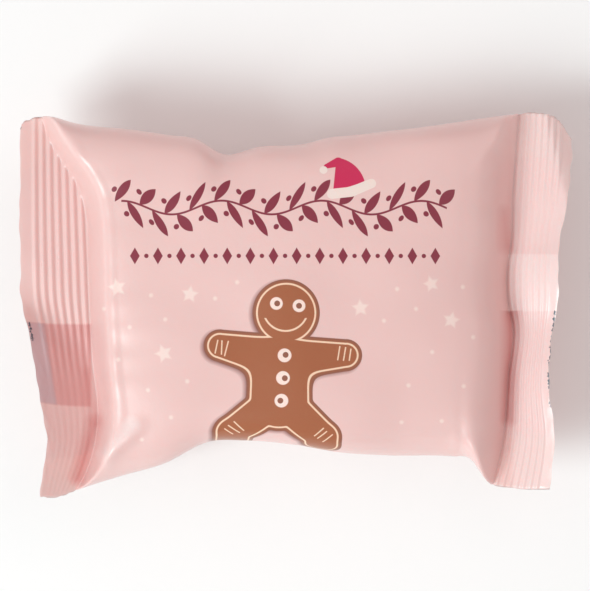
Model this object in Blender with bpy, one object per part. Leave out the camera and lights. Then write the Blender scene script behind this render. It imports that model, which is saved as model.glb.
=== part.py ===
"""A shut flow-wrap pack for one fortune cookie, lying on its back with the printed panel up.

It is one closed, air-filled pillow. Each end is a flat seal with crimped ribs, and the lap
seal that closes the film into a tube is folded down under the pack.
"""

import math

import bmesh
import bpy
import numpy as np

MM = 0.001

# The plan, seen from above. x runs from seal to seal and y across the panel.
UPPER_EDGE = np.array((
    (-53.4, 34.4), (-53.0, 35.2), (-51.8, 35.9), (-47.0, 36.3), (-43.6, 35.3), (-31.0, 33.7), (-25.0, 32.8),
    (-19.2, 31.9), (-14.2, 29.1), (-7.0, 30.5), (1.6, 31.0), (6.0, 32.2), (11.0, 32.7), (16.0, 33.3),
    (23.0, 34.1), (41.5, 36.8), (46.0, 37.2), (50.8, 35.6), (53.2, 32.2),
)) * MM
LOWER_EDGE = np.array((
    (-49.4, -36.9), (-46.4, -37.1), (-41.8, -35.5), (-34.0, -33.0), (-25.5, -30.5), (-16.6, -26.2),
    (-10.0, -26.0), (0.0, -26.9), (8.0, -28.3), (18.0, -29.0), (30.0, -29.2), (33.4, -29.6), (37.0, -34.2),
    (41.0, -35.3), (49.0, -35.5),
)) * MM
LEFT_CUT = np.array((
    (-37.0, -49.3), (-33.0, -48.9), (-26.0, -47.8), (-19.5, -49.0), (-12.0, -50.1), (-5.0, -51.6),
    (1.0, -53.0), (8.0, -53.3), (20.0, -53.4), (30.0, -53.4), (37.0, -53.4),
)) * MM
LEFT_SEAL_LINE = np.array((
    (-37.0, -43.3), (-32.0, -40.6), (-24.0, -38.6), (-9.0, -39.6), (0.0, -40.1), (10.0, -40.5),
    (22.0, -41.0), (37.0, -41.5),
)) * MM
RIGHT_SEAL_LINE = np.array((
    (-36.0, 37.6), (-28.0, 39.6), (-14.0, 40.9), (-3.4, 41.7), (-0.6, 41.0), (2.0, 40.7), (8.0, 40.8),
    (11.0, 41.3), (20.0, 41.7), (37.0, 42.9),
)) * MM
RIGHT_CUT = np.array((
    (-36.0, 48.5), (-31.0, 49.2), (-26.0, 49.6), (-16.0, 48.5), (-6.0, 49.0), (0.5, 50.1), (6.0, 50.2),
    (12.0, 50.4), (20.0, 52.1), (33.0, 53.2), (37.5, 53.2),
)) * MM

# Where the upper film leaves the left seal. Its upper corner swells out over the ribs.
LEFT_FOOT = np.array((
    (-37.0, -43.3), (-32.0, -40.6), (-24.0, -38.6), (-9.0, -39.6), (0.0, -40.1), (10.0, -40.4),
    (17.0, -40.7), (21.6, -41.7), (25.0, -43.3), (28.0, -45.4), (32.0, -47.8), (37.0, -49.4),
)) * MM

# Heights. The seals hang at the height of the pack's widest line, clear of the table.
SEAL_HEIGHT = 14.0 * MM
BELLY_LIFT = 1.2 * MM
BELLY_REACH = 40.0 * MM
CROWN = 13.2 * MM
BASE_DEPTH = 18.2 * MM
LEFT_RISE = np.array((
    (0, 0), (1.5, 4.4), (3.0, 8.8), (3.7, 10.4), (4.4, 11.2), (6.4, 11.8), (18, 13.2), (41, 16),
)) * MM
RIGHT_RISE = np.array((
    (0, 0), (1.6, 3.3), (3.4, 6.0), (6.0, 8.2), (10, 10.2), (15, 11.8), (23, 13.4), (41, 15.5),
)) * MM
BASE_RISE = np.array(((0, 0), (3, 4.4), (7, 8.6), (14, 12.8), (26, 17), (41, 19))) * MM
RIDGE_SHARPNESS = 8.0

# How square the section's shoulders are: along the top side, in the low bevel at right, and below.
UPPER_SHOULDER = 4.4
BEVEL_SHOULDER = 2.3
BEVEL_IN = (0.0 * MM, 22.0 * MM)
BEVEL_OUT = (31.0 * MM, 37.0 * MM)
CORNER_SHOULDER = 2.8
RIGHT_CORNER = (22.0 * MM, 38.0 * MM)
LEFT_CORNER = (-20.0 * MM, -35.0 * MM)
LOWER_SHOULDER = 2.7

# Soft folds in the panel: both ends, height and half width. They fade out on the lowest film.
FOLD_FADE = 6.0 * MM
FOLDS = np.array((
    (-37.0, -30.0, -28.8, -22.0, 0.7, 1.1),
    (-35.8, -28.0, -35.4, -6.0, 0.45, 0.9),
    (-14.3, 31.0, -15.8, 23.5, -0.5, 2.4),
    (6.0, 33.6, 3.0, 27.0, -0.35, 2.0),
    (43.0, 37.6, 33.2, 25.0, 0.4, 1.3),
    (32.5, -25.2, 14.0, -24.0, 0.25, 1.1),
)) * MM

# The end seals: how far each cut edge stands above its seal line, for each y.
LEFT_LIFT = np.array((
    (-37, 5.2), (-24, 6.4), (-12, 6.2), (-5, 5.0), (1, 2.2), (12, 1.9), (28, 1.0), (37, -0.8),
)) * MM
RIGHT_LIFT = np.array((
    (-36, 4.2), (-12, 5.0), (-2, 5.3), (0.5, 6.2), (9, 6.3), (12, 5.4), (20, 4.9), (30, 4.4), (37, 3.8),
)) * MM
LEFT_LIFT_CURVE = 1.3
RIGHT_LIFT_CURVE = 1.2
# How much further along the left seal's lifts are read at its seal line than at its cut edge.
LEFT_TURN = 10.0 * MM
# The line over which the right seal's upper corner bends down, and how steeply.
BEND_START = (48.2 * MM, 36.6 * MM)
BEND_RUN = (3.7 * MM, -16.1 * MM)
BEND_SLOPE = 1.15
BEND_RADIUS = 0.33 * MM

SEAL_THICKNESS = 0.7 * MM
CUT_MARGIN = 0.17
RIB_COUNT = 7
LEFT_RIB_HEIGHT = 0.4 * MM
RIGHT_RIB_HEIGHT = 0.3 * MM
# The ribs are pressed faintly below the left seal's middle and in one band of the right seal.
FAINT_LEFT_RIBS = 0.25
FAINT_LEFT_FADE = (-14.0 * MM, 2.0 * MM)
FAINT_RIGHT_RIBS = 0.4
FAINT_BAND_IN = (9.0 * MM, 12.0 * MM)
FAINT_BAND_OUT = (18.0 * MM, 24.0 * MM)
# Ribs vanish under film that swells out over them by more than this.
RIB_FADE = 2.4 * MM

# The lap seal, folded down on the underside.
LAP_FROM = -19.7 * MM
LAP_TO = -3.7 * MM
LAP_THICKNESS = 0.4 * MM
LAP_EDGE = 0.15 * MM

# Where the sections are cut: distances from the left and right seal lines, and a count between them.
BODY_LENGTH = 81.0 * MM
STATIONS_AT_LEFT = np.array((0.7, 1.4, 2.1, 2.8, 3.4, 4.0, 4.8, 6.2, 8.0)) * MM
STATIONS_AT_RIGHT = np.array((7.0, 4.8, 3.2, 2.0, 1.0)) * MM
STATIONS_BETWEEN = 18
SAMPLES_PER_RIB = 3
COLUMNS_OUTSIDE_LAP = (7, 16)
COLUMNS_ON_LAP = 3
COLUMN_SPREAD = 2.4
SETTLING_ROUNDS = 8

FILM_COLOUR = (0.85, 0.57, 0.55, 1.0)


def through(knots, at):
    """The smooth curve through the knots, held level past both ends."""
    places, values = knots.T
    slopes = np.gradient(values, places)
    at = np.clip(at, places[0], places[-1])
    left = np.clip(np.searchsorted(places, at) - 1, 0, len(places) - 2)
    span = places[left + 1] - places[left]
    share = (at - places[left]) / span
    rest = 1 - share
    ends = values[left] * (1 + 2 * share) * rest**2 + values[left + 1] * share**2 * (3 - 2 * share)
    return ends + span * share * rest * (slopes[left] * rest - slopes[left + 1] * share)


def plan_x(station, y):
    """x of a station at y. Stations 0 to 1 are the left seal, 1 to 2 the body, 2 to 3 the right seal."""
    lines = (LEFT_CUT, LEFT_SEAL_LINE, RIGHT_SEAL_LINE, RIGHT_CUT)
    marks = [through(line, y) for line in lines]
    x = marks[0]
    for index in range(3):
        share = np.clip(station - index, 0, 1)
        x = x + (marks[index + 1] - marks[index]) * share
    return x


def soft_step(start, end, at):
    """0 before start, 1 after end, and a smooth climb between them."""
    share = np.clip((at - start) / (end - start), 0, 1)
    return share * share * (3 - 2 * share)


def softer_of(one, other):
    """The lower of two heights, rounded where they cross."""
    tiny = 1e-7
    power = -RIDGE_SHARPNESS
    return (np.maximum(one, tiny) ** power + np.maximum(other, tiny) ** power) ** (1 / power)


def side_height(x):
    """Height of the pack's widest line."""
    return SEAL_HEIGHT + BELLY_LIFT * np.clip(1 - (x / BELLY_REACH) ** 2, 0, 1)


def section_angles(low, high):
    """Angles round each section, one line per station, with a close pair at each edge of the lap seal."""
    middle, half = (low + high) / 2, (high - low) / 2
    quarter = math.pi / 2
    edges = [LAP_FROM - LAP_EDGE, LAP_FROM + LAP_EDGE, LAP_TO - LAP_EDGE, LAP_TO + LAP_EDGE]
    corners = [np.full_like(low, -quarter)] + [angle_of((edge - middle) / half) for edge in edges]
    corners.append(np.full_like(low, quarter))
    counts = (COLUMNS_OUTSIDE_LAP[0], 0, COLUMNS_ON_LAP, 0, COLUMNS_OUTSIDE_LAP[1])
    columns = []
    for start, stop, count in zip(corners, corners[1:], counts):
        columns += [start + (stop - start) * step / (count + 1) for step in range(count + 1)]
    return np.concatenate(columns + [corners[-1]], axis=1)


def angle_of(across):
    return np.sign(across) * np.arcsin(np.abs(across) ** (COLUMN_SPREAD / 2))


def shoulder(x, across, top):
    """How square the section is there."""
    if not top:
        return LOWER_SHOULDER
    bevel = soft_step(*BEVEL_IN, x) * (1 - soft_step(*BEVEL_OUT, x))
    corner = np.where(across > 0, soft_step(*RIGHT_CORNER, x), soft_step(*LEFT_CORNER, x))
    upper = UPPER_SHOULDER + (BEVEL_SHOULDER - UPPER_SHOULDER) * bevel * (across < 0)
    return upper + (CORNER_SHOULDER - UPPER_SHOULDER) * corner


def film_height(x, y, across, top):
    """How far the film stands from the widest line."""
    left_line, left_rise, right_rise, reach = LEFT_SEAL_LINE, BASE_RISE, BASE_RISE, BASE_DEPTH
    if top:
        left_line, left_rise, right_rise, reach = LEFT_FOOT, LEFT_RISE, RIGHT_RISE, CROWN
    power = shoulder(x, across, top)
    up = np.clip(1 - np.abs(across) ** power, 0, 1) ** (1 / power)
    from_left = through(left_rise, x - through(left_line, y))
    from_right = through(right_rise, through(RIGHT_SEAL_LINE, y) - x)
    height = softer_of(softer_of(from_left, from_right), reach * up)
    if top:
        height = height + fold_height(x, y) * soft_step(0, FOLD_FADE, height)
    return height


def fold_height(x, y):
    """The soft folds of the panel, each fading out at both ends."""
    total = np.zeros_like(x)
    for start_x, start_y, end_x, end_y, height, width in FOLDS:
        run_x, run_y = end_x - start_x, end_y - start_y
        length = math.hypot(run_x, run_y)
        along = ((x - start_x) * run_x + (y - start_y) * run_y) / length
        aside = ((y - start_y) * run_x - (x - start_x) * run_y) / length
        fade = soft_step(-width, width, along) * (1 - soft_step(length / 2, length + width, along))
        total = total + height * fade * np.exp(-((aside / width) ** 2))
    return total


def seal_lift(station, x, y):
    """Height of the end seals' middle plane over their seal lines."""
    out_left = np.clip(1 - station, 0, 1)
    out_right = np.clip(station - 2, 0, 1)
    lift = through(LEFT_LIFT, y + LEFT_TURN * (1 - out_left)) * out_left**LEFT_LIFT_CURVE
    lift = lift + through(RIGHT_LIFT, y) * out_right**RIGHT_LIFT_CURVE
    bend_length = math.hypot(*BEND_RUN)
    past_bend = ((y - BEND_START[1]) * BEND_RUN[0] - (x - BEND_START[0]) * BEND_RUN[1]) / bend_length
    droop = BEND_SLOPE * BEND_RADIUS * np.log1p(np.exp(np.clip(past_bend / BEND_RADIUS, -30, 30)))
    return lift - droop * (out_right > 0)


def ribs(station, y):
    """Height of the crimped ribs on the end seals."""
    out = np.clip(1 - station, 0, 1) + np.clip(station - 2, 0, 1)
    left = FAINT_LEFT_RIBS + (1 - FAINT_LEFT_RIBS) * soft_step(*FAINT_LEFT_FADE, y)
    faint = soft_step(*FAINT_BAND_IN, y) * (1 - soft_step(*FAINT_BAND_OUT, y))
    right = 1 - (1 - FAINT_RIGHT_RIBS) * faint
    phase = np.clip(out / (1 - CUT_MARGIN), 0, 1) * RIB_COUNT
    height = np.where(station < 1.5, LEFT_RIB_HEIGHT * left, RIGHT_RIB_HEIGHT * right)
    return height * (0.5 - 0.5 * np.cos(2 * math.pi * phase))


def film(stations, top):
    """The points of the upper or the lower film, as an array of (station, column, xyz)."""
    station = stations[:, None]
    x = plan_x(station, np.zeros_like(station))
    for _ in range(SETTLING_ROUNDS):
        high = through(UPPER_EDGE, x)
        low = through(LOWER_EDGE, x)
        angle = section_angles(low[:, :1], high[:, -1:])
        across = np.sign(angle) * np.abs(np.sin(angle)) ** (2 / COLUMN_SPREAD)
        y = (high + low) / 2 + across * (high - low) / 2
        x = plan_x(station, y)
    height = film_height(x, y, across, top)
    middle = side_height(x) + seal_lift(station, x, y)
    crimp = ribs(station, y)
    if top:
        z = middle + SEAL_THICKNESS / 2 + height + crimp * (1 - soft_step(0, RIB_FADE, height))
    else:
        lap = np.where((y > LAP_FROM) & (y < LAP_TO), LAP_THICKNESS, 0)
        z = np.maximum(middle - SEAL_THICKNESS / 2 + crimp - height - lap, 0)
    return np.stack((x, y, z), axis=-1)


def station_list():
    """Stations on every crest and trough of the ribs, close ones at the ridges, wider ones between."""
    crimped = np.linspace(CUT_MARGIN, 1, RIB_COUNT * SAMPLES_PER_RIB + 1)
    left = np.concatenate(((0, CUT_MARGIN / 2), crimped))
    near_left = 1 + STATIONS_AT_LEFT / BODY_LENGTH
    near_right = 2 - STATIONS_AT_RIGHT / BODY_LENGTH
    between = np.linspace(near_left[-1], near_right[0], STATIONS_BETWEEN + 2)[1:-1]
    return np.concatenate((left, near_left, between, near_right, 3 - left[::-1]))


def sheet(build, points):
    """A grid of triangles, each pair split along its more level diagonal; returns its rows of vertices."""
    rows = [[build.verts.new(point) for point in line] for line in points]
    for near, far in zip(rows, rows[1:]):
        for index in range(len(near) - 1):
            first, second, third, fourth = near[index], near[index + 1], far[index + 1], far[index]
            if abs(first.co.z - third.co.z) < abs(second.co.z - fourth.co.z):
                build.faces.new((first, second, third))
                build.faces.new((first, third, fourth))
            else:
                build.faces.new((first, second, fourth))
                build.faces.new((second, third, fourth))
    return rows


def rim(rows):
    """The vertices round a sheet's edge, in order."""
    return rows[0] + [row[-1] for row in rows[1:-1]] + rows[-1][::-1] + [row[0] for row in rows[-2:0:-1]]


def make_pack():
    stations = station_list()
    upper = film(stations, top=True)
    lower = film(stations, top=False)
    both = np.concatenate((upper.reshape(-1, 3), lower.reshape(-1, 3)))
    middle = (both.min(axis=0) + both.max(axis=0)) / 2
    middle[2] = both[:, 2].min()
    build = bmesh.new()
    above = rim(sheet(build, upper - middle))
    below = rim(sheet(build, lower - middle))
    for index, corner in enumerate(above):
        after = (index + 1) % len(above)
        build.faces.new((corner, above[after], below[after], below[index]))
    bmesh.ops.recalc_face_normals(build, faces=build.faces)
    bmesh.ops.triangulate(build, faces=build.faces, quad_method="SHORT_EDGE")
    mesh = bpy.data.meshes.new("sealed_pack")
    build.to_mesh(mesh)
    build.free()
    pack = bpy.data.objects.new("sealed_pack", mesh)
    bpy.context.scene.collection.objects.link(pack)
    return pack


def film_material():
    """Matt printed polypropylene film."""
    material = bpy.data.materials.new("printed_film")
    material.use_nodes = True
    shader = material.node_tree.nodes["Principled BSDF"]
    shader.inputs["Base Color"].default_value = FILM_COLOUR
    shader.inputs["Roughness"].default_value = 0.42
    shader.inputs["Metallic"].default_value = 0.0
    return material


def main():
    for thing in list(bpy.data.objects):
        bpy.data.objects.remove(thing, do_unlink=True)
    pack = make_pack()
    pack.data.materials.append(film_material())


main()
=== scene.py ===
"""Dresses the sealed fortune cookie pack: printed film with crimped end seals, the lap seal, floor, light, camera."""

import math

import bpy
import numpy as np
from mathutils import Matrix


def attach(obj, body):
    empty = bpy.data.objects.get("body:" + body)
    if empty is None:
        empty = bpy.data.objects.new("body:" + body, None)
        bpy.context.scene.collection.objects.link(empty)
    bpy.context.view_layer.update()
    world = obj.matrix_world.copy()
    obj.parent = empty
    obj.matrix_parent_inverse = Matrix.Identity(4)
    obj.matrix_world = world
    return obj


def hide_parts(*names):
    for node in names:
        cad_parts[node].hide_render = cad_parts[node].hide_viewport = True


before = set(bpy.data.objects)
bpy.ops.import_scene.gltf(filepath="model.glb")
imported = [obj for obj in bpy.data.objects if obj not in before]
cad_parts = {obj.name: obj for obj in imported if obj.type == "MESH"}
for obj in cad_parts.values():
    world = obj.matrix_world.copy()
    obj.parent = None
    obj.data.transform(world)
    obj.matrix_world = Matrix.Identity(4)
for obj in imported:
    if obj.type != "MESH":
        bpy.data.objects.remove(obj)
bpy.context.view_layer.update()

MM = 0.001

# ---------------------------------------------------------------------------------------------
# The form of the pack, in millimetres. x runs from seal to seal, y across the panel, z up.
# ---------------------------------------------------------------------------------------------

# Knots of the plan: (x, y) along the two long sides, then (y, x) along the seals.
UPPER_EDGE = np.array((
    (-53.4, 34.4), (-53.0, 35.2), (-51.8, 35.9), (-47.0, 36.3), (-43.6, 35.3), (-31.0, 33.7), (-25.0, 32.8),
    (-19.2, 31.9), (-14.2, 29.1), (-7.0, 30.5), (1.6, 31.0), (6.0, 32.2), (11.0, 32.7), (16.0, 33.3),
    (23.0, 34.1), (41.5, 36.8), (46.0, 37.2), (50.8, 35.6), (53.2, 32.2),
))
LOWER_EDGE = np.array((
    (-49.4, -36.9), (-46.4, -37.1), (-41.8, -35.5), (-34.0, -33.0), (-25.5, -30.5), (-16.6, -26.2),
    (-10.0, -26.0), (0.0, -26.9), (8.0, -28.3), (18.0, -29.0), (30.0, -29.2), (33.4, -29.6), (37.0, -34.2),
    (41.0, -35.3), (49.0, -35.5),
))
LEFT_CUT = np.array((
    (-37.0, -49.3), (-33.0, -48.9), (-26.0, -47.8), (-19.5, -49.0), (-12.0, -50.1), (-5.0, -51.6),
    (1.0, -53.0), (8.0, -53.3), (20.0, -53.4), (30.0, -53.4), (37.0, -53.4),
))
LEFT_SEAL_LINE = np.array((
    (-37.0, -43.3), (-32.0, -40.6), (-24.0, -38.6), (-9.0, -39.6), (0.0, -40.1), (10.0, -40.5),
    (22.0, -41.0), (37.0, -41.5),
))
RIGHT_SEAL_LINE = np.array((
    (-36.0, 37.6), (-28.0, 39.6), (-14.0, 40.9), (-3.4, 41.7), (-0.6, 41.0), (2.0, 40.7), (8.0, 40.8),
    (11.0, 41.3), (20.0, 41.7), (37.0, 42.9),
))
RIGHT_CUT = np.array((
    (-36.0, 48.5), (-31.0, 49.2), (-26.0, 49.6), (-16.0, 48.5), (-6.0, 49.0), (0.5, 50.1), (6.0, 50.2),
    (12.0, 50.4), (20.0, 52.1), (33.0, 53.2), (37.5, 53.2),
))
# Where the upper film leaves the seals. On the left its upper corner swells out over the ribs.
LEFT_FOOT = np.array((
    (-37.0, -43.3), (-32.0, -40.6), (-24.0, -38.6), (-9.0, -39.6), (0.0, -40.1), (10.0, -40.4),
    (17.0, -40.7), (21.6, -41.7), (25.0, -43.3), (28.0, -45.4), (32.0, -47.8), (37.0, -49.4),
))

# How high the film stands above the widest line, for each distance from a seal.
SEAL_HEIGHT = 14.0
BELLY_LIFT = 1.2
CROWN = 13.2
BASE_DEPTH = 18.2
LEFT_RISE = np.array((
    (0, 0), (1.5, 4.4), (3.0, 8.8), (3.7, 10.4), (4.4, 11.2), (6.4, 11.8), (18, 13.2), (41, 16),
))
RIGHT_RISE = np.array((
    (0, 0), (1.6, 3.3), (3.4, 6.0), (6.0, 8.2), (10, 10.2), (15, 11.8), (23, 13.4), (41, 15.5),
))
BASE_RISE = np.array(((0, 0), (3, 4.4), (7, 8.6), (14, 12.8), (26, 17), (41, 19)))
RIDGE_SHARPNESS = 8.0
# How square the section's shoulders are: along the top side, in the low bevel at right, and below.
UPPER_SHOULDER = 4.4
BEVEL_SHOULDER = 2.3
BEVEL_FROM = 14.0
BEVEL_TO = 34.0
CORNER_SHOULDER = 2.8
RIGHT_CORNER = (22.0, 38.0)
LEFT_CORNER = (-20.0, -35.0)
LOWER_SHOULDER = 2.7

# How far each cut edge stands above its seal line, for each y.
LEFT_LIFT = np.array((
    (-37, 5.2), (-24, 6.4), (-12, 6.2), (-5, 5.0), (1, 2.2), (12, 1.9), (28, 1.0), (37, -0.8),
))
RIGHT_LIFT = np.array((
    (-36, 4.2), (-12, 5.0), (-2, 5.3), (0.5, 6.2), (9, 6.3), (12, 5.4), (20, 4.9), (30, 4.4), (37, 3.8),
))
SEAL_THICKNESS = 0.16
CUT_MARGIN = 0.17
RAGGED_CUT = 0.12
RIB_COUNT = 7
LEFT_RIB_HEIGHT = 0.4
RIGHT_RIB_HEIGHT = 0.3

# Soft folds in the panel: both ends, height and half width.
FOLDS = (
    ((-37.0, -30.0), (-28.8, -22.0), 0.85, 1.35),
    ((-35.6, -28.0), (-35.2, -6.0), 0.3, 1.3),
    ((-14.3, 31.0), (-15.8, 23.5), -0.5, 2.4),
    ((6.0, 33.6), (3.0, 27.0), -0.35, 2.0),
    ((43.0, 37.6), (33.2, 25.0), 0.4, 1.3),
    ((32.5, -25.2), (14.0, -24.0), 0.25, 1.1),
    ((30.2, -25.0), (38.6, -33.8), 0.5, 1.5),
)

# The lap seal, folded down under the pack.
LAP_FROM = -19.7
LAP_TO = -3.7
FILM_GAP = 0.14
LAP_CLEARANCE = 0.08

# Mesh spacing.
SAMPLES_PER_RIB = 8
BODY_STATIONS = 210
LOOP_SAMPLES = 360
FRONT_REACH = 46.0
FRONT_COLUMNS = 185
BACK_COLUMNS = 73
LAP_COLUMNS = 21
SETTLING_ROUNDS = 8


def through(knots, at):
    """The smooth curve through the knots, held level past both ends."""
    places, values = knots.T
    slopes = np.gradient(values, places)
    at = np.clip(at, places[0], places[-1])
    left = np.clip(np.searchsorted(places, at) - 1, 0, len(places) - 2)
    span = places[left + 1] - places[left]
    share = (at - places[left]) / span
    rest = 1 - share
    ends = values[left] * (1 + 2 * share) * rest**2 + values[left + 1] * share**2 * (3 - 2 * share)
    return ends + span * share * rest * (slopes[left] * rest - slopes[left + 1] * share)


def soft_step(start, end, at):
    """0 before start, 1 after end, and a smooth climb between them."""
    share = np.clip((at - start) / (end - start), 0, 1)
    return share * share * (3 - 2 * share)


def softer_of(one, other):
    """The lower of two heights, rounded where they cross."""
    tiny = 1e-4
    power = -RIDGE_SHARPNESS
    return (np.maximum(one, tiny) ** power + np.maximum(other, tiny) ** power) ** (1 / power)


def plan_x(station, y):
    """x of a station at y. Stations 0 to 1 are the left seal, 1 to 2 the body, 2 to 3 the right seal."""
    marks = [through(line, y) for line in (LEFT_CUT, LEFT_SEAL_LINE, RIGHT_SEAL_LINE, RIGHT_CUT)]
    x = marks[0]
    for index in range(3):
        share = np.clip(station - index, 0, 1)
        x = x + (marks[index + 1] - marks[index]) * share
    return x


def side_height(x):
    """Height of the pack's widest line."""
    return SEAL_HEIGHT + BELLY_LIFT * np.clip(1 - (x / 40) ** 2, 0, 1)


def seal_lift(station, x, y):
    """Height of the end seals' middle plane over their seal lines."""
    out_left = np.clip(1 - station, 0, 1)
    out_right = np.clip(station - 2, 0, 1)
    turned = y + 10 * (1 - out_left)
    lift = through(LEFT_LIFT, turned) * out_left**1.3 + through(RIGHT_LIFT, y) * out_right**1.2
    past_bend = ((x - 48.2) * 16.1 + (y - 36.6) * 3.7) / 16.5
    droop = 1.15 * np.log1p(np.exp(np.clip(past_bend * 3, -30, 30))) / 3
    return lift - droop * (out_right > 0)


def ribs(station, y):
    """Height of the crimped ribs on the end seals."""
    out = np.clip(1 - station, 0, 1) + np.clip(station - 2, 0, 1)
    left = 0.1 + 0.9 * soft_step(-17, 0, y)
    right = 1 - 0.6 * soft_step(9, 12, y) * (1 - soft_step(18, 24, y))
    phase = np.clip(out / (1 - CUT_MARGIN), 0, 1) * RIB_COUNT
    height = np.where(station < 1.5, LEFT_RIB_HEIGHT * left, RIGHT_RIB_HEIGHT * right)
    return height * (0.5 - 0.5 * np.cos(2 * math.pi * phase))


def fold_height(x, y):
    """The soft folds of the panel, each fading out at both ends."""
    total = np.zeros_like(x)
    for (start_x, start_y), (end_x, end_y), height, width in FOLDS:
        run_x, run_y = end_x - start_x, end_y - start_y
        length = math.hypot(run_x, run_y)
        along = ((x - start_x) * run_x + (y - start_y) * run_y) / length
        aside = ((y - start_y) * run_x - (x - start_x) * run_y) / length
        fade = soft_step(-width, width, along) * (1 - soft_step(length * 0.5, length + width, along))
        total = total + height * fade * np.exp(-((aside / width) ** 2))
    return total


def waves(across, along, seed, shortest, longest, count=9):
    """An even mix of smooth waves in both directions, between about -1 and 1."""
    dice = np.random.default_rng(seed)
    total = np.zeros_like(across)
    for _ in range(count):
        turn, phase = dice.uniform(0, 2 * math.pi, 2)
        length = dice.uniform(shortest, longest)
        ahead = across * math.cos(turn) + along * math.sin(turn)
        total = total + np.sin(2 * math.pi * ahead / length + phase)
    return total / math.sqrt(count)


def unevenness(x, y, above, from_left, from_right):
    """Slack film: broad soft waves over the panel, and small puckers that run out from the end seals."""
    broad = 0.16 * waves(x, y, 3, 13, 30)
    pucker = 0.16 * waves(x / 7, y, 5, 3.0, 7.5, count=7)
    near_seal = np.exp(-np.clip(np.minimum(from_left, from_right), 0, None) / 5.5)
    return (broad + pucker * near_seal) * soft_step(0, 5, above)


def section_round():
    """One trip round the pack's section from under its middle: shares across it, and which are on top."""
    half = LOOP_SAMPLES // 2
    out = np.linspace(0, -1, half)
    share = np.concatenate((out, np.linspace(-1, 1, LOOP_SAMPLES), -out[::-1]))
    top = np.concatenate((np.zeros(half), np.ones(LOOP_SAMPLES), np.zeros(half))) > 0
    angle = np.abs(share) ** (UPPER_SHOULDER / 2) * math.pi / 2
    return (np.sign(share) * np.sin(angle) ** (2 / UPPER_SHOULDER))[None, :], top[None, :]


def shoulder(x, across, top):
    """How square the section is there."""
    bevel = soft_step(BEVEL_FROM - 14, BEVEL_FROM + 8, x) * (1 - soft_step(BEVEL_TO - 3, BEVEL_TO + 3, x))
    corner = np.where(across > 0, soft_step(*RIGHT_CORNER, x), soft_step(*LEFT_CORNER, x))
    upper = UPPER_SHOULDER + (BEVEL_SHOULDER - UPPER_SHOULDER) * bevel * (across < 0)
    upper = upper + (CORNER_SHOULDER - UPPER_SHOULDER) * corner
    return np.where(top, upper, LOWER_SHOULDER)


def film_loops(stations):
    """The film all the way round the pack at each station: points as (station, point, xyz), and which are on top."""
    across, top = section_round()
    station = stations[:, None]
    x = plan_x(station, 0 * across)
    for _ in range(SETTLING_ROUNDS):
        high = through(UPPER_EDGE, x)
        low = through(LOWER_EDGE, x)
        y = (high + low) / 2 + across * (high - low) / 2
        x = plan_x(station, y)
    near_cut = np.clip(1 - np.minimum(station, 3 - station) / CUT_MARGIN, 0, 1)
    x = x + RAGGED_CUT * near_cut * waves(y, station * 20, 11, 1.6, 6.0)
    power = shoulder(x, across, top)
    up = np.clip(1 - np.abs(across) ** power, 0, 1) ** (1 / power)
    left = x - through(LEFT_FOOT, y)
    right = through(RIGHT_SEAL_LINE, y) - x
    upper_end = softer_of(through(LEFT_RISE, left), through(RIGHT_RISE, right))
    lower_end = softer_of(through(BASE_RISE, x - through(LEFT_SEAL_LINE, y)), through(BASE_RISE, right))
    above = softer_of(upper_end, CROWN * up)
    above = above + fold_height(x, y) * soft_step(0, 6, above) + unevenness(x, y, above, left, right)
    below = softer_of(lower_end, BASE_DEPTH * up)
    middle = side_height(x) + seal_lift(station, x, y)
    crimp = ribs(station, y)
    gap = SEAL_THICKNESS / 2 * soft_step(0, 0.03, np.minimum(station, 3 - station))
    upper_z = middle + gap + crimp * (1 - soft_step(0, 2.4, above)) + above
    lower_z = np.maximum(middle - gap + crimp - below, FILM_GAP)
    return np.stack((x, y, np.where(top, upper_z, lower_z)), axis=-1), top[0]


def station_list():
    """Stations close enough to follow the ribs, then wider ones along the body."""
    ribs = np.linspace(CUT_MARGIN, 1, RIB_COUNT * SAMPLES_PER_RIB + 1)
    left = np.concatenate((np.linspace(0, CUT_MARGIN, 7)[:-1], ribs))
    even = np.linspace(0, 1, BODY_STATIONS)
    body = 1 + 0.65 * even + 0.35 * (0.5 - 0.5 * np.cos(math.pi * even))
    return np.concatenate((left, body[1:-1], 3 - left[::-1]))


def read_along(lines, lengths, wanted):
    """Each line of points, read at the wanted lengths along it."""
    rows = [
        np.stack([np.interp(want, length, line[:, axis]) for axis in range(3)], axis=-1)
        for line, length, want in zip(lines, lengths, wanted)
    ]
    return np.array(rows)


def film_rows(stations):
    """(front film, back film) as points at even steps of film, counted from y = 0 on the panel."""
    loops, top = film_loops(stations)
    steps = np.linalg.norm(np.diff(loops, axis=1), axis=2)
    along = np.concatenate((np.zeros((len(loops), 1)), np.cumsum(steps, axis=1)), axis=1)
    start = [np.interp(0, line[top, 1], length[top]) for line, length in zip(loops, along)]
    along = along - np.array(start)[:, None]
    whole = along[:, -1:] - along[:, :1]
    front = read_along(loops, along, np.tile(film_across(), (len(loops), 1)))
    twice = np.concatenate((loops[:, :-1], loops), axis=1)
    twice_along = np.concatenate((along[:, :-1], along + whole), axis=1)
    share = np.linspace(0, 1, BACK_COLUMNS)
    back = read_along(twice, twice_along, FRONT_REACH + share * (whole - 2 * FRONT_REACH))
    return front, back


def film_across():
    """Film lengths of the front film's columns."""
    return np.linspace(-FRONT_REACH, FRONT_REACH, FRONT_COLUMNS)


# ---------------------------------------------------------------------------------------------
# Pieces
# ---------------------------------------------------------------------------------------------


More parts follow.
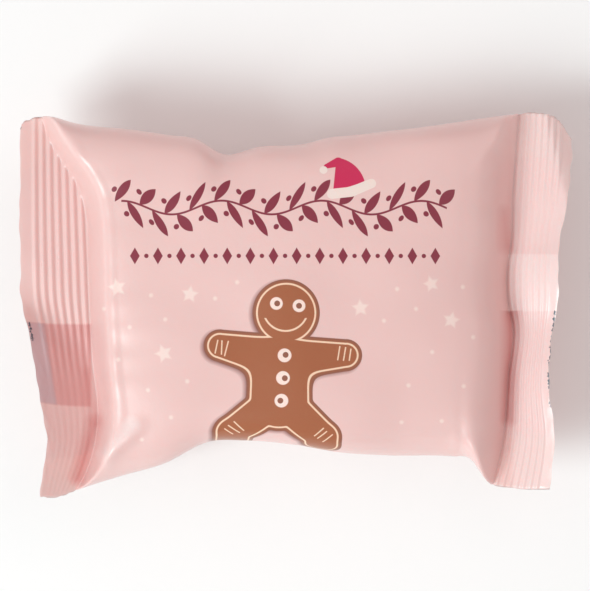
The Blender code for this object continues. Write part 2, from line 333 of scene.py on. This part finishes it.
def grid_piece(name, rows):
    """A grid, bent so that its points lie at rows, which are in millimetres."""
    count, columns = rows.shape[:2]
    bpy.ops.object.select_all(action="DESELECT")
    bpy.ops.mesh.primitive_grid_add(x_subdivisions=columns - 1, y_subdivisions=count - 1, size=0.1)
    piece = bpy.context.object
    piece.name = name
    piece.data.name = name
    piece.data.vertices.foreach_set("co", (rows * MM).astype(np.float32).ravel())
    piece.data.flip_normals()
    piece.data.update()
    bpy.ops.object.shade_smooth()
    return piece


def lay_map(piece, name, places):
    """Gives the piece a UV map that holds one (u, v) for each of its points."""
    corners = np.empty(len(piece.data.loops), np.int32)
    piece.data.loops.foreach_get("vertex_index", corners)
    uv_map = piece.data.uv_layers.new(name=name)
    uv_map.data.foreach_set("uv", places.reshape(-1, 2)[corners].astype(np.float32).ravel())


def even_map(rows):
    """A square map whose steps follow the film's own lengths."""
    along = np.linalg.norm(np.diff(rows[:, rows.shape[1] // 2], axis=0), axis=1)
    u = np.concatenate(((0,), np.cumsum(along))) / along.sum()
    v = np.linspace(0, 1, rows.shape[1])
    return np.stack(np.broadcast_arrays(u[:, None], v[None, :]), axis=-1)


def make_front(rows, shift):
    piece = grid_piece("front_film", rows - shift)
    piece.data.uv_layers.remove(piece.data.uv_layers[0])
    across = np.broadcast_to(film_across()[None, :], rows.shape[:2])
    lay_map(piece, "print_mm", np.stack((rows[..., 0], across), axis=-1))
    lay_map(piece, "OFBake", even_map(rows))
    return piece


def make_back(rows, shift):
    piece = grid_piece("back_film", rows - shift)
    piece.data.uv_layers.remove(piece.data.uv_layers[0])
    lay_map(piece, "print_mm", rows[..., :2])
    lay_map(piece, "OFBake", even_map(rows))
    return piece


def lap_rows(stations):
    """The lap seal: a strip of film folded down under the pack, crimped along its middle."""
    loops, top = film_loops(stations)
    across = np.linspace(LAP_FROM, LAP_TO, LAP_COLUMNS)
    rows = []
    for line in loops:
        under = line[~top]
        under = under[np.argsort(under[:, 1])]
        rows.append([[np.interp(y, under[:, 1], under[:, axis]) for axis in range(3)] for y in across])
    rows = np.array(rows)
    share = np.linspace(0, 1, LAP_COLUMNS)[None, :]
    crimp = 0.04 * (1 + np.sin(2 * math.pi * rows[..., 1] / 1.6)) * soft_step(0.2, 0.3, share) * (1 - soft_step(0.7, 0.8, share))
    curl = 0.35 * (1 - soft_step(0.0, 0.14, share)) * soft_step(0, 6, rows[..., 2])
    rows[..., 2] -= LAP_CLEARANCE + np.minimum(crimp + curl, np.maximum(rows[..., 2] - LAP_CLEARANCE, 0))
    return rows


def make_lap(rows, shift):
    piece = grid_piece("lap_seal", rows[:, ::-1] - shift)
    piece.data.uv_layers.remove(piece.data.uv_layers[0])
    lay_map(piece, "print_mm", rows[:, ::-1, :2])
    lay_map(piece, "OFBake", even_map(rows))
    return piece


# ---------------------------------------------------------------------------------------------
# Print, with some painted shade, highlight and sheen, drawn as distances in millimetres on the flat film
# ---------------------------------------------------------------------------------------------

FILM_PINK = "#EBC7C3"
GINGERBREAD = "#A7623E"
GINGERBREAD_RIM = "#935C48"
FIGURE_SHADOW = "#8A5450"
ICING = "#FBE2D8"
ICING_LINE = "#F8D5B9"
RASPBERRY = "#87283D"
HAT_RED = "#CC1A54"
HAT_TRIM = "#F1E0D8"
STAR_CREAM = "#F8E4DC"
SHOWN_LAP = "#DB9F9C"
SHOWN_MARK = "#CDB0B4"
PALE_PATCH = "#F8E9E6"
# Painted shade for the valleys beside the seals and the right slope.
PAINTED_SHADE = "#C97571"
# Painted highlight for the fold at the lower left corner.
PAINTED_HIGHLIGHT = "#F9ECEA"
# Painted sheen for the right seal.
PAINTED_SHEEN = "#F8E2E0"
EDGE_MARK = "#3A4A58"

LIMBS = (
    # start, end, radius at the start, radius at the end: head, arms, trunk, legs, feet
    ((-2.0, -1.45), (-2.0, -1.45), 6.4, 6.4),
    ((-14.6, -7.7), (-5.0, -9.8), 3.1, 4.4),
    ((9.4, -9.55), (-1.0, -10.0), 3.05, 4.3),
    ((-3.2, -12.3), (-3.3, -18.0), 6.2, 6.35),
    ((-12.1, -24.7), (-6.5, -20.1), 3.95, 3.95),
    ((4.7, -25.6), (0.2, -21.0), 3.9, 4.0),
    ((-12.1, -24.7), (-12.4, -29.0), 3.95, 3.9),
    ((4.7, -25.6), (4.7, -27.6), 3.9, 3.9),
)
EYES = (((-3.85, 0.35), (-3.7, 0.35)), ((0.45, -0.1), (0.45, -0.1)))
BUTTONS = (((-2.3, -9.55), (-2.1, -9.45)), ((-2.6, -13.85), (-2.25, -13.9)), ((-2.9, -18.2), (-3.1, -18.2)))
CUFFS = (
    ((-15.0, -6.7), (-15.5, -9.1)), ((-14.2, -6.8), (-14.3, -9.3)), ((-13.0, -6.9), (-13.7, -9.6)),
    ((8.2, -7.9), (7.8, -10.4)), ((9.3, -8.1), (8.9, -10.5)), ((10.3, -8.4), (10.0, -10.5)),
    ((-11.9, -22.3), (-10.1, -24.2)), ((-13.0, -23.1), (-10.9, -24.8)), ((-13.7, -23.9), (-12.2, -25.3)),
    ((5.1, -23.7), (3.4, -25.4)), ((5.7, -24.4), (4.0, -26.0)), ((6.8, -25.1), (5.0, -26.9)),
)
STAR_POINT = math.radians(29)
STARS = (
    # centre, radius, turn in degrees
    ((-34.2, 3.4), 1.7, 12), ((-20.3, 2.1), 1.6, -8), ((-25.3, -9.2), 1.7, 20), ((12.1, -0.5), 1.6, 4),
    ((25.6, 4.1), 1.5, 16), ((29.5, -2.9), 1.6, -12),
)
DOTS = (
    (-34.0, -10.4), (-11.3, 4.4), (-15.5, 1.3), (-25.0, -2.7), (-20.8, -14.5), (-28.3, -16.2), (-23.9, -21.4),
    (-27.7, 1.9), (19.1, 3.1), (16.6, -3.0), (22.7, -0.7), (25.8, -9.0), (21.3, -15.4), (27.7, -22.4),
    (20.0, -22.7), (33.7, -6.2), (31.9, -15.6), (-29.5, -25.8), (-31.8, -4.2), (31.7, 3.5), (-36.8, -0.7),
)

# The garland that stands across the panel, and the thin row of ornaments under it.
GARLAND_MIDDLE = -2.4
GARLAND_REACH = 31.0
STEM_HEIGHT = 18.6
STEM_WAVE = 1.3
STEM_WAVELENGTH = 19.0
LEAF_STEP = 4.75
LEAF_LENGTH = 5.2
LEAF_WIDTH = 1.7
ROW_MIDDLE = -2.2
ROW_REACH = 29.9
ROW_HEIGHT = 9.4
ROW_STEP = 4.4

HAT_ARC = ((6.7, 21.9), 6.45)
HAT_TIP = ((7.9, 27.35), (5.6, 26.5), 0.95, 0.45)
HAT_BRIM = (((6.7, 21.2), (10.4, 21.6), 0.95, 0.95), ((10.4, 21.6), (14.2, 23.2), 0.95, 0.9))
POMPOM = (5.1, 25.8)


# Painted shade: darker rose bars in the valleys beside the seals and along the right slope, where shade falls.
# Columns: both ends, radius at each, width of the soft edge, strength, and the y where it stops short.
PAINTED_SHADE_BARS = (
    ((-40.5, -13.0), (-38.9, -21.5), 0.3, 0.9, 3.0, 0.5, 40.0),
    ((-39.0, -23.0), (-42.3, -34.0), 1.0, 0.7, 2.8, 0.75, 40.0),
    ((38.6, 27.0), (38.6, -27.0), 0.5, 0.8, 7.0, 0.22, 40.0),
    ((41.3, 2.0), (40.9, -22.0), 1.2, 0.7, 2.8, 0.75, -1.2),
    ((39.9, 18.0), (40.4, 11.5), 0.3, 0.8, 3.2, 0.55, 40.0),
)
CUT_SHORT = 6.0
SPECKS = (((-51.4, -4.0), (-50.7, -7.4)), ((49.6, -1.2), (48.5, -12.5)), ((48.4, -13.5), (48.9, -20.0)))
# Painted highlight: pale bars along the fold at the lower left corner, where the fold catches light: both ends, radius
# at each, width of the soft edge, strength.
PAINTED_HIGHLIGHT_BARS = (
    ((-34.6, -26.6), (-31.4, -23.0), 0.4, 1.3, 1.8, 0.55),
    ((-34.8, -26.8), (-37.0, -28.9), 0.6, 0.9, 2.2, 0.4),
)


def linear(hex_colour):
    """An sRGB hex colour as linear RGBA."""
    parts = [int(hex_colour[i : i + 2], 16) / 255 for i in (1, 3, 5)]
    return [p / 12.92 if p <= 0.04045 else ((p + 0.055) / 1.055) ** 2.4 for p in parts] + [1.0]


def add(tree, kind, inputs=None, **settings):
    """Adds a node, sets its properties, and links or sets the inputs named by number or name."""
    made = tree.nodes.new("ShaderNode" + kind)
    for name, value in settings.items():
        setattr(made, name, value)
    for name, value in (inputs or {}).items():
        if isinstance(value, bpy.types.Node):
            value = value.outputs[0]
        if isinstance(value, bpy.types.NodeSocket):
            tree.links.new(value, made.inputs[name])
        else:
            made.inputs[name].default_value = value
    return made


def new_group(name, inputs):
    """An empty node group with these inputs (name to kind) and one distance as its output."""
    group = bpy.data.node_groups.new(name, "ShaderNodeTree")
    for label, kind in inputs.items():
        group.interface.new_socket(label, in_out="INPUT", socket_type="NodeSocket" + kind)
    group.interface.new_socket("Distance", in_out="OUTPUT", socket_type="NodeSocketFloat")
    source = group.nodes.new("NodeGroupInput")
    return group, source.outputs, group.nodes.new("NodeGroupOutput")


def limb_group():
    """Distance to a round-ended bar whose radius changes evenly from one end to the other."""
    group, given, result = new_group(
        "limb", {"Point": "Vector", "Start": "Vector", "End": "Vector", "First": "Float", "Last": "Float"}
    )
    run = add(group, "VectorMath", {0: given["End"], 1: given["Start"]}, operation="SUBTRACT")
    away = add(group, "VectorMath", {0: given["Point"], 1: given["Start"]}, operation="SUBTRACT")
    ahead = add(group, "VectorMath", {0: away, 1: run}, operation="DOT_PRODUCT")
    length = add(group, "VectorMath", {0: run, 1: run}, operation="DOT_PRODUCT")
    safe = add(group, "Math", {0: length.outputs["Value"], 1: 1e-6}, operation="MAXIMUM")
    share = add(group, "Math", {0: ahead.outputs["Value"], 1: safe}, operation="DIVIDE", use_clamp=True)
    near = add(group, "VectorMath", {0: run, 3: share}, operation="SCALE")
    gap = add(group, "VectorMath", {0: away, 1: near}, operation="DISTANCE")
    wider = add(group, "Math", {0: given["Last"], 1: given["First"]}, operation="SUBTRACT")
    radius = add(group, "Math", {0: wider, 1: share, 2: given["First"]}, operation="MULTIPLY_ADD")
    distance = add(group, "Math", {0: gap.outputs["Value"], 1: radius}, operation="SUBTRACT")
    group.links.new(distance.outputs[0], result.inputs[0])
    return group


def star_group():
    """Distance to a five-pointed star. Each of its ten slopes is one straight line, folded round the middle."""
    group, given, result = new_group(
        "star", {"Point": "Vector", "Centre": "Vector", "Radius": "Float", "Turn": "Float"}
    )
    away = add(group, "VectorMath", {0: given["Point"], 1: given["Centre"]}, operation="SUBTRACT")
    parts = add(group, "SeparateXYZ", {0: away})
    angle = add(group, "Math", {0: parts.outputs["X"], 1: parts.outputs["Y"]}, operation="ARCTAN2")
    turned = add(group, "Math", {0: angle, 1: given["Turn"]}, operation="ADD")
    fold = add(group, "Math", {0: turned, 1: math.radians(36)}, operation="PINGPONG")
    reach = add(group, "VectorMath", {0: away}, operation="LENGTH").outputs["Value"]
    cosine = add(group, "Math", {0: fold}, operation="COSINE")
    sine = add(group, "Math", {0: fold}, operation="SINE")
    along = add(group, "Math", {0: reach, 1: cosine}, operation="MULTIPLY")
    aside = add(group, "Math", {0: reach, 1: sine}, operation="MULTIPLY")
    short = add(group, "Math", {0: along, 1: given["Radius"]}, operation="SUBTRACT")
    slope = add(group, "Math", {0: short, 1: math.sin(STAR_POINT)}, operation="MULTIPLY")
    distance = add(group, "Math", {0: aside, 1: math.cos(STAR_POINT), 2: slope}, operation="MULTIPLY_ADD")
    group.links.new(distance.outputs[0], result.inputs[0])
    return group


def leaf_group():
    """Distance to a leaf: two arcs that meet in a point at both ends."""
    group, given, result = new_group(
        "leaf", {"Point": "Vector", "Centre": "Vector", "Turn": "Float", "Length": "Float", "Width": "Float"}
    )
    back = add(group, "Math", {0: given["Turn"], 1: -1}, operation="MULTIPLY")
    turned = add(
        group, "VectorRotate", {"Vector": given["Point"], "Center": given["Centre"], "Angle": back},
        rotation_type="Z_AXIS",
    )
    away = add(group, "VectorMath", {0: turned, 1: given["Centre"]}, operation="SUBTRACT")
    parts = add(group, "SeparateXYZ", {0: away})
    squared = add(group, "Math", {0: given["Length"], 1: given["Length"]}, operation="MULTIPLY")
    bulge = add(group, "Math", {0: squared, 1: given["Width"]}, operation="DIVIDE")
    radius = add(group, "Math", {0: add(group, "Math", {0: bulge, 1: given["Width"]}), 1: 0.25}, operation="MULTIPLY")
    half = add(group, "Math", {0: given["Width"], 1: 0.5}, operation="MULTIPLY")
    offset = add(group, "Math", {0: radius, 1: half}, operation="SUBTRACT")
    aside = add(group, "Math", {0: parts.outputs["Y"]}, operation="ABSOLUTE")
    far = add(group, "Math", {0: aside, 1: offset}, operation="ADD")
    flat_place = add(group, "CombineXYZ", {0: parts.outputs["X"], 1: far})
    reach = add(group, "VectorMath", {0: flat_place}, operation="LENGTH").outputs["Value"]
    distance = add(group, "Math", {0: reach, 1: radius}, operation="SUBTRACT")
    group.links.new(distance.outputs[0], result.inputs[0])
    return group


def flat(place):
    return (place[0], place[1], 0.0)


def shape(tree, group, inputs):
    """One use of a shape group."""
    made = add(tree, "Group")
    made.node_tree = group
    for name, value in inputs.items():
        if isinstance(value, bpy.types.Node):
            tree.links.new(value.outputs[0], made.inputs[name])
        else:
            made.inputs[name].default_value = value
    return made


def disc(tree, point, centre, radius):
    gap = add(tree, "VectorMath", {0: point, 1: flat(centre)}, operation="DISTANCE")
    return add(tree, "Math", {0: gap.outputs["Value"], 1: radius}, operation="SUBTRACT")


def nearest(tree, distances, rounding=0.0):
    """The union of shapes, with inner corners rounded by that much."""
    total = distances[0]
    for other in distances[1:]:
        if rounding:
            total = add(tree, "Math", {0: total, 1: other, 2: rounding}, operation="SMOOTH_MIN")
        else:
            total = add(tree, "Math", {0: total, 1: other}, operation="MINIMUM")
    return total


def inked(tree, under, distance, colour, blur=0.07, strength=1.0):
    """The colour laid on where the distance is below zero."""
    cover = add(tree, "Math", {0: distance, 1: -strength / blur, 2: strength / 2}, operation="MULTIPLY_ADD")
    cover.use_clamp = True
    if strength < 1:
        cover = add(tree, "Math", {0: cover, 1: strength}, operation="MINIMUM")
    return add(tree, "Mix", {0: cover, 6: under, 7: linear(colour)}, data_type="RGBA").outputs[2]


def figure_group(limb):
    """Distance to the gingerbread figure's outline."""
    group, given, result = new_group("figure", {"Point": "Vector"})
    bars = []
    for start, end, first, last in LIMBS:
        bar = shape(group, limb, {"Start": flat(start), "End": flat(end), "First": first, "Last": last})
        group.links.new(given["Point"], bar.inputs["Point"])
        bars.append(bar)
    arms = nearest(group, bars[1:4], rounding=3.4)
    trunk = nearest(group, [arms] + bars[4:], rounding=0.5)
    group.links.new(nearest(group, [bars[0], trunk]).outputs[0], result.inputs[0])
    return group


def print_figure(tree, point, under, limb):
    """The gingerbread figure: soft shadow, baked rim, biscuit, and icing."""
    group = figure_group(limb)
    figure = shape(tree, group, {"Point": point})
    aside = add(tree, "VectorMath", {0: point, 1: (0.4, 0.25, 0)}, operation="ADD")
    colour = inked(tree, under, shape(tree, group, {"Point": aside}), FIGURE_SHADOW, blur=1.0, strength=0.9)
    colour = inked(tree, colour, figure, GINGERBREAD_RIM)
    colour = inked(tree, colour, add(tree, "Math", {0: figure, 1: 0.45}), GINGERBREAD, blur=0.6)
    middle = add(tree, "Math", {0: figure, 1: 0.85})
    line = add(tree, "Math", {0: middle}, operation="ABSOLUTE")
    icing = add(tree, "Math", {0: line, 1: 0.17}, operation="SUBTRACT")
    strokes = [
        shape(tree, limb, {"Point": point, "Start": flat(a), "End": flat(b), "First": 0.12, "Last": 0.12})
        for a, b in CUFFS
    ]
    ring = disc(tree, point, (-2.1, -0.65), 4.26)
    smile = add(tree, "Math", {0: add(tree, "Math", {0: ring}, operation="ABSOLUTE"), 1: 0.17}, operation="SUBTRACT")
    height = add(tree, "SeparateXYZ", {0: point}).outputs["Y"]
    above = add(tree, "Math", {0: height, 1: 2.45})
    smile = add(tree, "Math", {0: smile, 1: above}, operation="MAXIMUM")
    rounds = [disc(tree, point, centre, 1.2) for centre, _ in EYES]
    rounds += [disc(tree, point, centre, 1.3) for centre, _ in BUTTONS]
    colour = inked(tree, colour, nearest(tree, [icing, smile] + strokes), ICING_LINE, blur=0.12)
    colour = inked(tree, colour, nearest(tree, rounds), ICING, blur=0.15)
    pupils = nearest(tree, [disc(tree, point, dot, 0.56) for _, dot in EYES + BUTTONS])
    return inked(tree, colour, pupils, GINGERBREAD_RIM)


def cells(tree, x, step, shift):
    """x split into equal cells: (place in the cell, middle of the cell)."""
    moved = add(tree, "Math", {0: x, 1: shift}, operation="SUBTRACT")
    place = add(tree, "Math", {0: moved, 1: step / 2, 2: -step / 2}, operation="WRAP")
    return place, add(tree, "Math", {0: x, 1: place}, operation="SUBTRACT")


def within(tree, distance, x, middle, reach):
    """The shape, cut off where x is further than reach from the middle."""
    far = add(tree, "Math", {0: x, 1: middle}, operation="SUBTRACT")
    past = add(tree, "Math", {0: add(tree, "Math", {0: far}, operation="ABSOLUTE"), 1: reach}, operation="SUBTRACT")
    return add(tree, "Math", {0: distance, 1: past}, operation="MAXIMUM")


def print_garland(tree, point, under, leaf):
    """A wavy stem with leaves and berries on both sides."""
    parts = add(tree, "SeparateXYZ", {0: point})
    x, y = parts.outputs["X"], parts.outputs["Y"]
    phase = add(tree, "Math", {0: x, 1: 2 * math.pi / STEM_WAVELENGTH}, operation="MULTIPLY")
    wave = add(tree, "Math", {0: phase}, operation="SINE")
    height = add(tree, "Math", {0: wave, 1: STEM_WAVE, 2: STEM_HEIGHT}, operation="MULTIPLY_ADD")
    above = add(tree, "Math", {0: y, 1: height}, operation="SUBTRACT")
    stem = add(tree, "Math", {0: add(tree, "Math", {0: above}, operation="ABSOLUTE"), 1: 0.2}, operation="SUBTRACT")
    shapes = [within(tree, stem, x, GARLAND_MIDDLE, GARLAND_REACH)]
    for shift, side in ((0.0, 1), (LEAF_STEP / 2, -1)):
        place, middle = cells(tree, x, LEAF_STEP, shift)
        local = add(tree, "CombineXYZ", {0: place, 1: above})
        turn = side * math.radians(54)
        centre = (0.5 * LEAF_LENGTH * math.cos(turn) - 1.4, 0.5 * LEAF_LENGTH * math.sin(turn))
        blade = shape(tree, leaf, {
            "Point": local, "Centre": flat(centre), "Turn": turn, "Length": LEAF_LENGTH, "Width": LEAF_WIDTH,
        })
        berry = disc(tree, local, (-1.5, side * 2.4), 0.52)
        shapes.append(within(tree, nearest(tree, [blade, berry]), middle, GARLAND_MIDDLE, GARLAND_REACH))
    return inked(tree, under, nearest(tree, shapes), RASPBERRY)


def print_row(tree, point, under):
    """A thin row of diamonds with dots between them."""
    parts = add(tree, "SeparateXYZ", {0: point})
    x = parts.outputs["X"]
    level = add(tree, "Math", {0: parts.outputs["Y"], 1: ROW_HEIGHT}, operation="SUBTRACT")
    place, _ = cells(tree, x, ROW_STEP, 0.0)
    between, _ = cells(tree, x, ROW_STEP, ROW_STEP / 2)
    wide = add(tree, "Math", {0: add(tree, "Math", {0: place}, operation="ABSOLUTE"), 1: 0.86}, operation="MULTIPLY")
    tall = add(tree, "Math", {0: add(tree, "Math", {0: level}, operation="ABSOLUTE"), 1: 0.5, 2: -0.8}, operation="MULTIPLY_ADD")
    diamond = add(tree, "Math", {0: wide, 1: tall})
    dot = disc(tree, add(tree, "CombineXYZ", {0: between, 1: level}), (0, 0), 0.42)
    row = within(tree, nearest(tree, [diamond, dot]), x, ROW_MIDDLE, ROW_REACH)
    return inked(tree, under, row, RASPBERRY)


def print_hat(tree, point, under, limb):
    """A red hat that hangs on the garland."""
    parts = add(tree, "SeparateXYZ", {0: point})
    x, y = parts.outputs["X"], parts.outputs["Y"]
    left_side = add(tree, "Math", {0: y, 1: 0.1, 2: 4.75}, operation="MULTIPLY_ADD")
    brim_line = add(tree, "Math", {0: x, 1: 0.3, 2: 19.6}, operation="MULTIPLY_ADD")
    body = add(tree, "Math", {
        0: disc(tree, point, *HAT_ARC), 1: add(tree, "Math", {0: left_side, 1: x}, operation="SUBTRACT"),
    }, operation="MAXIMUM")
    start, end, first, last = HAT_TIP
    tip = shape(tree, limb, {"Point": point, "Start": flat(start), "End": flat(end), "First": first, "Last": last})
    body = nearest(tree, [body, tip])
    below = add(tree, "Math", {0: brim_line, 1: y}, operation="SUBTRACT")
    body = add(tree, "Math", {0: body, 1: below}, operation="MAXIMUM")
    colour = inked(tree, under, body, HAT_RED)
    brim = nearest(tree, [
        shape(tree, limb, {"Point": point, "Start": flat(a), "End": flat(b), "First": first, "Last": last})
        for a, b, first, last in HAT_BRIM
    ])
    return inked(tree, colour, nearest(tree, [brim, disc(tree, point, POMPOM, 0.75)]), HAT_TRIM)


def print_seal_marks_and_painted_light(tree, point, under, limb):
    """What shows through the end seals: the folded lap seal at left, and ragged specks of a cutting mark. Also a paler
    patch on the right seal, painted sheen on the right seal, painted shade in the valleys beside the seals and along
    the right slope, and a painted highlight at the lower left corner.
    """
    parts = add(tree, "SeparateXYZ", {0: point})
    x, y = parts.outputs["X"], parts.outputs["Y"]
    middle, half = (LAP_FROM + LAP_TO) / 2, (LAP_TO - LAP_FROM) / 2
    band = within(tree, add(tree, "Math", {0: x, 1: 39.7}), y, middle, half)
    colour = inked(tree, under, band, SHOWN_LAP, blur=0.5, strength=0.85)
    slant = add(tree, "Math", {0: y, 1: 0.16, 2: 49.25}, operation="MULTIPLY_ADD")
    mark = within(tree, add(tree, "Math", {0: x, 1: slant}), y, middle, half)
    colour = inked(tree, colour, mark, SHOWN_MARK, blur=0.5, strength=0.9)
    # A paler patch on the inner right seal, from y -1.2 to 9.9.
    pale_patch = within(tree, add(tree, "Math", {0: 41.0, 1: x}, operation="SUBTRACT"), y, 4.35, 5.55)
    colour = inked(tree, colour, pale_patch, PALE_PATCH, blur=0.3, strength=0.5)
    # Painted sheen: the right seal past its seal line is mixed towards a paler pink.
    sheen_area = within(tree, add(tree, "Math", {0: 41.6, 1: x}, operation="SUBTRACT"), y, 0.0, 60.0)
    colour = inked(tree, colour, sheen_area, PAINTED_SHEEN, blur=1.2, strength=0.45)
    # Painted shade: darker rose bars in the valleys beside the seals and along the right slope.
    for start, end, first, last, blur, strength, top in PAINTED_SHADE_BARS:
        shade_bar = shape(tree, limb, {"Point": point, "Start": flat(start), "End": flat(end), "First": first, "Last": last})
        over = add(tree, "Math", {0: y, 1: CUT_SHORT, 2: -CUT_SHORT * top}, operation="MULTIPLY_ADD")
        shade_bar = add(tree, "Math", {0: shade_bar, 1: over}, operation="MAXIMUM")
        colour = inked(tree, colour, shade_bar, PAINTED_SHADE, blur=blur, strength=strength)
    # Painted highlight: pale bars along the fold at the lower left corner.
    for start, end, first, last, blur, strength in PAINTED_HIGHLIGHT_BARS:
        highlight_bar = shape(tree, limb, {"Point": point, "Start": flat(start), "End": flat(end), "First": first, "Last": last})
        colour = inked(tree, colour, highlight_bar, PAINTED_HIGHLIGHT, blur=blur, strength=strength)
    grain = add(tree, "TexNoise", {"Vector": point, "Scale": 1.6, "Detail": 3.0}, noise_dimensions="3D")
    ragged = add(tree, "Math", {0: grain.outputs[0], 1: -1.6, 2: 0.75}, operation="MULTIPLY_ADD")
    for start, end in SPECKS:
        line = shape(tree, limb, {"Point": point, "Start": flat(start), "End": flat(end), "First": 0.1, "Last": 0.1})
        speck = add(tree, "Math", {0: line, 1: ragged})
        colour = inked(tree, colour, speck, EDGE_MARK, blur=0.2)
    return colour


def bare_film(name):
    """Matt printed polypropylene film, a little cloudy, so that light spreads in it. Returns (material, tree, shader)."""
    material = bpy.data.materials.new(name)
    material.use_nodes = True
    tree = material.node_tree
    shader = tree.nodes["Principled BSDF"]
    shader.inputs["Roughness"].default_value = 0.3
    shader.inputs["Specular IOR Level"].default_value = 0.7
    shader.inputs["Subsurface Weight"].default_value = 0.25
    shader.inputs["Subsurface Radius"].default_value = (1.0, 0.4, 0.35)
    shader.inputs["Subsurface Scale"].default_value = 0.8 * MM
    place = add(tree, "TexCoord").outputs["Object"]
    grain = add(tree, "TexNoise", {"Vector": place, "Scale": 1 / (1.3 * MM), "Detail": 3.0})
    bump = add(tree, "Bump", {"Height": grain.outputs[0], "Distance": 0.03 * MM, "Strength": 0.6})
    tree.links.new(bump.outputs[0], shader.inputs["Normal"])
    return material, tree, shader


def front_material():
    material, tree, shader = bare_film("printed_film")
    limb, star = limb_group(), star_group()
    point = add(tree, "UVMap", uv_map="print_mm")
    colour = print_stars(tree, point, linear(FILM_PINK), star)
    colour = print_seal_marks_and_painted_light(tree, point, colour, limb)
    colour = print_garland(tree, point, colour, leaf_group())
    colour = print_row(tree, point, colour)
    colour = print_hat(tree, point, colour, limb)
    colour = print_figure(tree, point, colour, limb)
    tree.links.new(colour, shader.inputs["Base Color"])
    return material


def back_material():
    """The same film, whose back carries only the stars."""
    material, tree, shader = bare_film("printed_film_back")
    star = bpy.data.node_groups["star"]
    colour = print_stars(tree, add(tree, "UVMap", uv_map="print_mm"), linear(FILM_PINK), star)
    tree.links.new(colour, shader.inputs["Base Color"])
    return material


def print_stars(tree, point, under, star):
    stars = [
        shape(tree, star, {"Point": point, "Centre": flat(centre), "Radius": radius, "Turn": math.radians(turn)})
        for centre, radius, turn in STARS
    ]
    dots = [disc(tree, point, centre, 0.38) for centre in DOTS]
    return inked(tree, under, nearest(tree, stars + dots), STAR_CREAM, blur=0.4, strength=0.75)


def make_floor():
    bpy.ops.object.select_all(action="DESELECT")
    bpy.ops.mesh.primitive_plane_add(size=3)
    floor = bpy.context.object
    floor.name = "floor"
    material = bpy.data.materials.new("pale_card")
    material.use_nodes = True
    shader = material.node_tree.nodes["Principled BSDF"]
    shader.inputs["Base Color"].default_value = linear("#F8FAFA")
    shader.inputs["Roughness"].default_value = 0.8
    floor.data.materials.append(material)


def lamp(name, place, size, power, colour):
    light = bpy.data.lights.new(name, "AREA")
    light.size = size
    light.color = colour
    light.energy = power
    holder = bpy.data.objects.new(name, light)
    bpy.context.scene.collection.objects.link(holder)
    holder.location = place
    holder.rotation_euler = (-holder.location).to_track_quat("-Z", "Y").to_euler()


def make_studio():
    lamp("key", (-0.85, -0.55, 1.0), 0.7, 13.6, (0.88, 1.0, 1.0))
    lamp("fill", (0.9, 0.75, 1.0), 1.3, 3.0, (1.0, 0.78, 0.74))
    world = bpy.data.worlds.new("studio")
    world.use_nodes = True
    back = world.node_tree.nodes["Background"]
    back.inputs["Color"].default_value = (1.0, 0.9, 0.89, 1)
    back.inputs["Strength"].default_value = 0.58
    bpy.context.scene.world = world
    bpy.context.scene.view_settings.view_transform = "Standard"


def make_camera():
    """Looks straight down from far off, so that the pack keeps its flat look."""
    camera = bpy.data.cameras.new("camera")
    camera.lens = 250
    view_width = 114.1 * MM
    widest_line = 15 * MM
    holder = bpy.data.objects.new("camera", camera)
    bpy.context.scene.collection.objects.link(holder)
    holder.location = (-0.2 * MM, 1.8 * MM, widest_line + view_width * camera.lens / camera.sensor_width)
    bpy.context.scene.camera = holder


def main():
    front, back = film_rows(station_list())
    both = np.concatenate((front.reshape(-1, 3), back.reshape(-1, 3)))
    shift = (both.min(axis=0) + both.max(axis=0)) / 2
    shift[2] = 0
    front_film = make_front(front, shift)
    back_film = make_back(back, shift)
    lap_seal = make_lap(lap_rows(station_list()), shift)
    front_film.data.materials.append(front_material())
    behind = back_material()
    back_film.data.materials.append(behind)
    lap_seal.data.materials.append(behind)
    for piece in (front_film, back_film, lap_seal):
        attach(piece, "root")
    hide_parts("sealed_pack")
    make_floor()
    make_studio()
    make_camera()


main()
